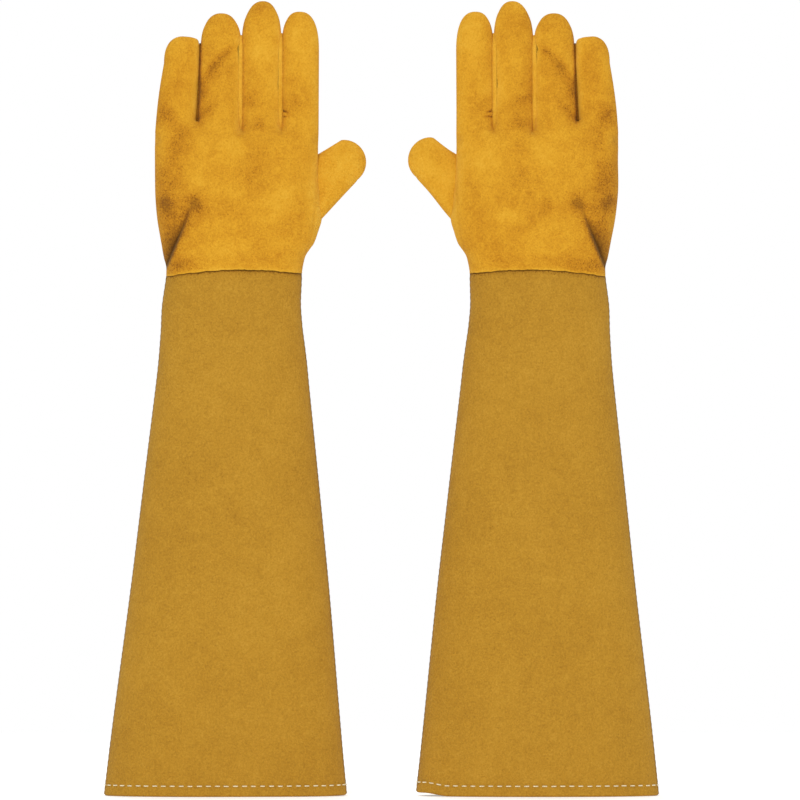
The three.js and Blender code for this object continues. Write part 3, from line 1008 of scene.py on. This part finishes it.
class Look:
    """A node material whose colour, roughness and bump are built up by short calls."""

    def __init__(self, name):
        self.material = bpy.data.materials.new(name)
        self.material.use_nodes = True
        self.tree = self.material.node_tree
        self.shader = self.tree.nodes["Principled BSDF"]
        self.place = self.attribute("rest_place", "Vector")
        self.tone = self.attribute("tone", "Fac")

    def node(self, kind, **settings):
        made = self.tree.nodes.new(kind)
        for key, value in settings.items():
            setattr(made, key, value)
        return made

    def link(self, value, socket):
        """Plugs in another node's output, or sets a constant."""
        if isinstance(value, bpy.types.NodeSocket):
            self.tree.links.new(value, socket)
        else:
            socket.default_value = value

    def attribute(self, name, output):
        return self.node("ShaderNodeAttribute", attribute_name=name).outputs[output]

    def math(self, operation, a, b=0.0):
        made = self.node("ShaderNodeMath", operation=operation)
        self.link(a, made.inputs[0])
        self.link(b, made.inputs[1])
        return made.outputs[0]

    def stretched(self, scale, turn):
        """The place on the piece at rest, scaled and turned."""
        made = self.node("ShaderNodeMapping")
        self.link(self.place, made.inputs["Vector"])
        set_inputs(made, {"Rotation": turn, "Scale": scale})
        return made.outputs[0]

    def noise(self, scale, detail, rough, vector=None, warp=0.0):
        made = self.node("ShaderNodeTexNoise")
        self.link(vector or self.place, made.inputs["Vector"])
        set_inputs(made, {"Scale": scale, "Detail": detail, "Roughness": rough, "Distortion": warp})
        return made.outputs["Fac"]

    def wave(self, direction, scale, warp):
        made = self.node("ShaderNodeTexWave", bands_direction=direction)
        self.link(self.place, made.inputs["Vector"])
        set_inputs(made, {"Scale": scale, "Distortion": warp})
        return made.outputs["Fac"]

    def weighed(self, *terms):
        """The sum of each value, less a half, times its weight."""
        total = 0.0
        for value, weight in terms:
            part = self.math("MULTIPLY", self.math("SUBTRACT", value, 0.5), weight)
            total = self.math("ADD", part, total)
        return total

    def colours(self, value, *stops):
        made = self.node("ShaderNodeValToRGB")
        self.link(value, made.inputs["Fac"])
        band = made.color_ramp
        for i, (at, colour) in enumerate(stops):
            stop = band.elements[i] if i < 2 else band.elements.new(at)
            stop.position = at
            stop.color = linear(*colour)
        return made.outputs["Color"]

    def mixed(self, share, a, b):
        made = self.node("ShaderNodeMix", data_type="RGBA")
        self.link(share, made.inputs["Factor"])
        self.link(a, made.inputs["A"])
        self.link(b, made.inputs["B"])
        return made.outputs["Result"]

    def bump(self, height, distance, strength):
        made = self.node("ShaderNodeBump")
        self.link(height, made.inputs["Height"])
        set_inputs(made, {"Distance": distance, "Strength": strength})
        self.link(made.outputs["Normal"], self.shader.inputs["Normal"])

    def finish(self, colour, roughness, sheen, sheen_tint=(1, 1, 1), specular=0.3):
        self.link(colour, self.shader.inputs["Base Color"])
        self.link(roughness, self.shader.inputs["Roughness"])
        values = {"Sheen Weight": sheen, "Sheen Roughness": 0.45, "Sheen Tint": (*sheen_tint, 1)}
        set_inputs(self.shader, {"Specular IOR Level": specular, **values})
        return self.material


PAINTED_SHADE_BROWN = (74, 44, 14)  # the brown of painted shade, in deep folds, slits, cut edges and under the hand's hem


def suede(name, colours, clouding, mottling, grain):
    """Napped split leather: cloudy dye, blotches, dark pores and short pale fibres. It is darker where
    the tone is higher, and turns brown with painted shade where the tone is highest.
    """
    look = Look(name)
    clouds = look.noise(21, 3, 0.5, warp=0.4)
    blotches = look.noise(95, 5, 0.6, warp=0.7)
    flecks = look.noise(640, 4, 0.72)
    fibres = look.noise(1900, 2, 0.6, look.stretched((1, 1, 0.5), (0.3, 0.4, 0.1)))
    pores = look.noise(950, 2, 0.5)
    value = look.weighed(
        (clouds, clouding), (blotches, mottling), (flecks, grain), (fibres, 0.35 * grain)
    )
    value = look.math("ADD", value, 0.56)
    pits = look.math("MAXIMUM", look.math("SUBTRACT", 0.46, pores), 0.0)
    specks = look.math("MULTIPLY", pits, 1.7 * grain)
    # the dark pores show more where the tone is higher, in the patches and in painted shade
    worn = look.math("ADD", 0.35, look.math("MAXIMUM", look.math("MINIMUM", look.tone, 1.0), 0.0))
    value = look.math("SUBTRACT", value, look.math("MULTIPLY", specks, worn))
    shade = look.math("MULTIPLY", look.math("MINIMUM", look.tone, 1.2), 0.24)
    value = look.math("SUBTRACT", value, shade)
    deep, dark, mid, light = colours
    colour = look.colours(value, (0.08, deep), (0.98, light), (0.34, dark), (0.6, mid))
    # painted shade: where the tone is highest the colour turns to a dark brown
    painted_shade_depth = look.math("MAXIMUM", look.math("SUBTRACT", look.tone, 0.9), 0.0)
    painted_shade_share = look.math("MINIMUM", look.math("MULTIPLY", painted_shade_depth, 0.55), 0.8)
    colour = look.mixed(painted_shade_share, colour, linear(*PAINTED_SHADE_BROWN))
    look.bump(look.weighed((flecks, 1.0), (fibres, 0.8), (blotches, 0.35)), 0.0009, 0.75)
    roughness = look.math("ADD", 0.86, look.math("MULTIPLY", fibres, 0.12))
    return look.finish(colour, roughness, 0.1, (1, 0.8, 0.4), 0.15)


def thread(name, colour, dark):
    """Twisted cotton thread with a little fluff."""
    look = Look(name)
    fluff = look.noise(1500, 3, 0.7)
    twist = look.wave("DIAGONAL", 420, 2.0)
    value = look.math("ADD", 0.5, look.weighed((twist, 0.5), (fluff, 0.7)))
    look.bump(value, 0.0003, 0.8)
    return look.finish(look.colours(value, (0.1, dark), (0.75, colour)), 0.8, 0.15)


def cloth(name):
    """Plain undyed cotton: two crossing sets of yarns."""
    look = Look(name)
    weave = look.math("MULTIPLY", look.wave("X", 320, 0.6), look.wave("Z", 320, 0.6))
    slubs = look.noise(160, 4, 0.6)
    value = look.math("ADD", 0.35, look.weighed((weave, 0.5), (slubs, 0.6)))
    look.bump(weave, 0.0003, 0.7)
    colour = look.colours(value, (0.0, (176, 164, 138)), (0.8, (228, 219, 198)))
    return look.finish(colour, 0.95, 0.1)


HAND_SUEDE = suede(
    "hand_suede",
    ((140, 84, 16), (194, 130, 26), (218, 158, 38), (236, 184, 62)),
    0.5, 0.42, 0.78,
)
CUFF_SUEDE = suede(
    "cuff_suede",
    ((128, 88, 22), (168, 120, 34), (188, 139, 42), (208, 160, 62)),
    0.25, 0.3, 1.0,
)
HEM_THREAD = thread("hem_thread", (252, 246, 214), (214, 196, 146))
SEAM_THREAD = thread("seam_thread", (196, 140, 46), (128, 84, 26))
EDGE_LEATHER = suede(
    "edge_leather",
    ((92, 70, 34), (128, 98, 44), (150, 118, 58), (170, 138, 76)),
    0.3, 0.5, 0.6,
)
LINING_CLOTH = cloth("lining_cotton")


# ---- the pair ----

WRIST_SEAM_Z = 409
WRIST_LOOP = 0.85833  # the size of the loop of wrist stitches against the leather round it
HAND_LINING_GAP = 2.6
LEAST_DEPTH = 5  # the hand's lining stops where the leather is nearer to the middle than this
LOOP_BAND = 1.2  # points of the hand this near to a height count as on it
LOOP_POINTS = 60


def stand_for(side, node):
    """Hides the CAD node that a piece stands in for."""
    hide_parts(f"{side.name}_{node}")


def add_finger_bends(side, made):
    """Bakes the place of each finger's base and tip pieces into their meshes, and hides the CAD nodes
    that they stand in for.
    """
    start = ROOT_LINE + 1
    for name in FINGERS:
        hand, base, tip = (f"{side.name}_{body}" for body in ("hand", f"{name}_base", f"{name}_tip"))
        ends = {
            "base": (hand, base, start, start + KNUCKLE_REACH[name]),
            "tip": (base, tip, *FINGER_BEND[name]),
        }
        for part, (below, above, low, high) in ends.items():
            for word in PANELS.values():
                node = f"{name}_{part}_{word}"
                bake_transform(made[node], below, above, start=side.level(low), end=side.level(high))
                stand_for(side, node)


def hand_loop(skin, z):
    """A closed line round the inside of the hand at a height."""
    rows = []
    for panel, order in (("back", 1), ("palm", -1)):
        points = skin.points[panel]
        near = points[np.abs(points[:, 2] - z) < LOOP_BAND]
        rows.append(near[np.argsort(near[:, 0])][::order])
    line = np.concatenate(rows)
    line = line.mean(0) + (line - line.mean(0)) * WRIST_LOOP
    line[:, 2] = z
    return line[:: max(1, len(line) // LOOP_POINTS)]


def add_hand_lining(side, skin, look):
    """The cotton inside the hand, a little in from the leather and open at the wrist."""
    parts = []
    for panel in PANELS:
        points, faces = skin.points[panel], skin.faces[panel]
        corners = points[faces]
        deep = np.abs(corners[:, :, 1]).min(1) > LEAST_DEPTH
        faces = faces[(corners.mean(1)[:, 2] < ROOT_LINE - 6) & deep]
        parts.append((points - skin.normals[panel] * HAND_LINING_GAP, faces[:, ::-1]))
    return smooth_piece(side, "hand_lining_cloth", *joined(parts), look)


def add_glove(side, hand_skin, thumb_skin):
    """Every piece of a glove. The hem stitches hang on the cuff's body, and the other pieces are baked
    in place.
    """
    made = add_hand(side, hand_skin, HAND_SUEDE)
    add_finger_bends(side, made)
    for node, piece in add_thumb(side, thumb_skin, HAND_SUEDE).items():
        low, high = (side.beside(x) for x in THUMB_BEND)
        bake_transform(piece)
        stand_for(side, node)
    hand_lining = add_hand_lining(side, hand_skin, LINING_CLOTH)
    wrist_line = hand_loop(hand_skin, WRIST_SEAM_Z)
    wrist_stitches = add_stitches(side, "wrist_stitches", wrist_line, SEAM_THREAD)
    cuff_back, cuff_palm = (add_cuff_panel(side, panel, CUFF_SUEDE) for panel in PANELS)
    cuff_lining = add_cuff_lining(side, LINING_CLOTH)
    hem_stitches = add_stitches(side, "hem_stitches", cuff_loop(side, HEM_Z), HEM_THREAD)
    inner_edge = add_side_seam(side, "cuff_inner_edge", 1, EDGE_LEATHER)
    outer_edge = add_side_seam(side, "cuff_outer_edge", -1, EDGE_LEATHER)
    pieces = {
        "hand_back": (made["hand_back"], "hand_leather"),
        "hand_palm": (made["hand_palm"], "hand_leather"),
        "hand_lining": (hand_lining, "lining"),
        "wrist_stitching": (wrist_stitches, "seam_thread"),
        "cuff_back": (cuff_back, "cuff_leather"),
        "cuff_palm": (cuff_palm, "cuff_leather"),
        "cuff_lining": (cuff_lining, "lining"),
        "hem_stitching": (hem_stitches, "hem_thread"),
        "cuff_inner_seam": (inner_edge, "seam_thread"),
        "cuff_outer_seam": (outer_edge, "seam_thread"),
    }
    low, high = (side.level(z) for z in WRIST_BEND)
    for node, (piece, slot) in pieces.items():
        if node == "hem_stitching":
            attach(piece, f"{side.name}_cuff")
        else:
            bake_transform(piece)
        stand_for(side, node)


# ---- the studio ----

WHITE = (1, 1, 1, 1)
PALE = (0.85, 0.85, 0.85, 1)
BACKDROP = 1.0  # how bright the backdrop looks
AMBIENT = 0.46  # how much light it gives
FLOOR_RADIUS = 14
FLOOR_Z = -0.0002  # just under the hems
FLOOR_FADE = (0.35, 1.6)  # from the middle to where the floor has turned into the backdrop
FLOOR_GLOW = 0.35
LENS = 500
SENSOR = 36
VIEW_WIDTH = 0.604
VIEW_CENTRE = (0.014, 0.2985)
AIM = Vector((0, 0, 0.3))
# Each light: its place, its size and its power.
LIGHTS = {
    "key": ((-0.6, -2.3, 1.9), 1.2, 32.5),
    "fill": ((1.9, -2.2, 0.6), 1.6, 11),
    "top": ((0.2, 0.4, 2.4), 1.4, 12),
    "behind": ((-0.6, 2.6, 1.3), 1.6, 30),
}


def add_floor():
    """A pale round floor that fades into the white backdrop."""
    bpy.ops.mesh.primitive_circle_add(
        vertices=96, radius=FLOOR_RADIUS, fill_type="NGON", location=(0, 0, FLOOR_Z)
    )
    floor = bpy.context.object
    floor.name = "studio_floor"
    look = bpy.data.materials.new("studio_white")
    look.use_nodes = True
    nodes, links = look.node_tree.nodes, look.node_tree.links
    place = nodes.new("ShaderNodeTexCoord")
    length = nodes.new("ShaderNodeVectorMath")
    length.operation = "LENGTH"
    fade = nodes.new("ShaderNodeMapRange")
    set_inputs(fade, {"From Min": FLOOR_FADE[0], "From Max": FLOOR_FADE[1]})
    white = nodes.new("ShaderNodeEmission")
    set_inputs(white, {"Color": WHITE, "Strength": BACKDROP})
    paint = nodes["Principled BSDF"]
    set_inputs(paint, {"Base Color": PALE, "Roughness": 0.9, "Specular IOR Level": 0.1})
    set_inputs(paint, {"Emission Color": WHITE, "Emission Strength": FLOOR_GLOW})
    mix = nodes.new("ShaderNodeMixShader")
    links.new(place.outputs["Object"], length.inputs[0])
    links.new(length.outputs["Value"], fade.inputs["Value"])
    links.new(fade.outputs["Result"], mix.inputs["Fac"])
    links.new(paint.outputs["BSDF"], mix.inputs[1])
    links.new(white.outputs["Emission"], mix.inputs[2])
    links.new(mix.outputs["Shader"], nodes["Material Output"].inputs["Surface"])
    floor.data.materials.append(look)


def add_backdrop():
    """An even white surround, which looks brighter than the light that it gives."""
    world = bpy.data.worlds.new("studio")
    world.use_nodes = True
    nodes, links = world.node_tree.nodes, world.node_tree.links
    path = nodes.new("ShaderNodeLightPath")
    strength = nodes.new("ShaderNodeMapRange")
    set_inputs(strength, {"To Min": AMBIENT, "To Max": BACKDROP})
    links.new(path.outputs["Is Camera Ray"], strength.inputs["Value"])
    links.new(strength.outputs["Result"], nodes["Background"].inputs["Strength"])
    set_inputs(nodes["Background"], {"Color": WHITE})
    bpy.context.scene.world = world


def add_light(name, place, size, power):
    """A soft round light, aimed at the middle of the gloves."""
    data = bpy.data.lights.new(name, "AREA")
    data.shape = "DISK"
    data.size = size
    data.energy = power
    light = bpy.data.objects.new(name, data)
    light.location = place
    light.rotation_euler = (AIM - Vector(place)).to_track_quat("-Z", "Y").to_euler()
    bpy.context.scene.collection.objects.link(light)


def add_camera():
    """A long lens, level with the middle of the gloves and square to the backs of the hands."""
    data = bpy.data.cameras.new("camera")
    data.lens = LENS
    data.sensor_width = SENSOR
    camera = bpy.data.objects.new("camera", data)
    camera.location = (VIEW_CENTRE[0], -VIEW_WIDTH / SENSOR * LENS, VIEW_CENTRE[1])
    camera.rotation_euler = (math.pi / 2, 0, 0)
    bpy.context.scene.collection.objects.link(camera)
    bpy.context.scene.camera = camera


creases = [smooth_line(line) for line in (TUCK, SIDE_SEAM, *INDEX_CREASES)]
hand_skin = Skin(hand_outline(), back_of_hand, palm_of_hand, creases)
thumb_skin = Skin(thumb_outline(), thumb_rise(-1), thumb_rise(1))
thumb_skin.add("palm", *thumb_seam(hand_skin, thumb_skin), 0.8)
for pair, web in WEBS.items():
    hand_skin.add("palm", *finger_web(pair), web["tone"])
for glove in (LEFT, RIGHT):
    add_glove(glove, hand_skin, thumb_skin)

add_floor()
add_backdrop()
for name, settings in LIGHTS.items():
    add_light(name, *settings)
bpy.context.scene.view_settings.view_transform = "Standard"
add_camera()
